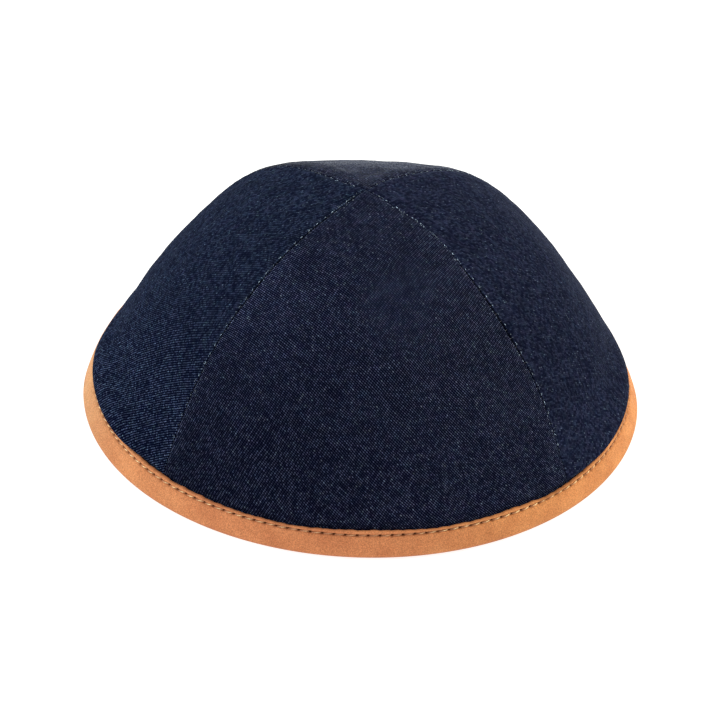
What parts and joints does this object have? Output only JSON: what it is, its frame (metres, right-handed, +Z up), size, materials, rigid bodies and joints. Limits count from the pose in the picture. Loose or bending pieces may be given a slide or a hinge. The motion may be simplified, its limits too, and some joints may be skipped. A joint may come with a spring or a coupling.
{
  "type": "kippah skullcap",
  "caption": "Low domed skullcap of four dark denim panels meeting at the crown, with a stitched tan leather binding folded over the rim.",
  "frame": {"origin": "middle of the rim, on the surface that the cap rests on", "axes": "+Z up through the crown, front panel facing -Y, +X to the right as seen from the front"},
  "size_m": [0.1514, 0.152, 0.0647],
  "materials": {
    "denim": "very dark indigo cotton twill with fine diagonal ribs and pale weft flecks",
    "binding_leather": "tan suede-like leather, matte, with a fine short nap"
  },
  "bodies": {
    "root": {"panel_front": "denim", "panel_right": "denim", "panel_back": "denim", "panel_left": "denim", "rim_binding": "binding_leather"}
  },
  "joints": []
}
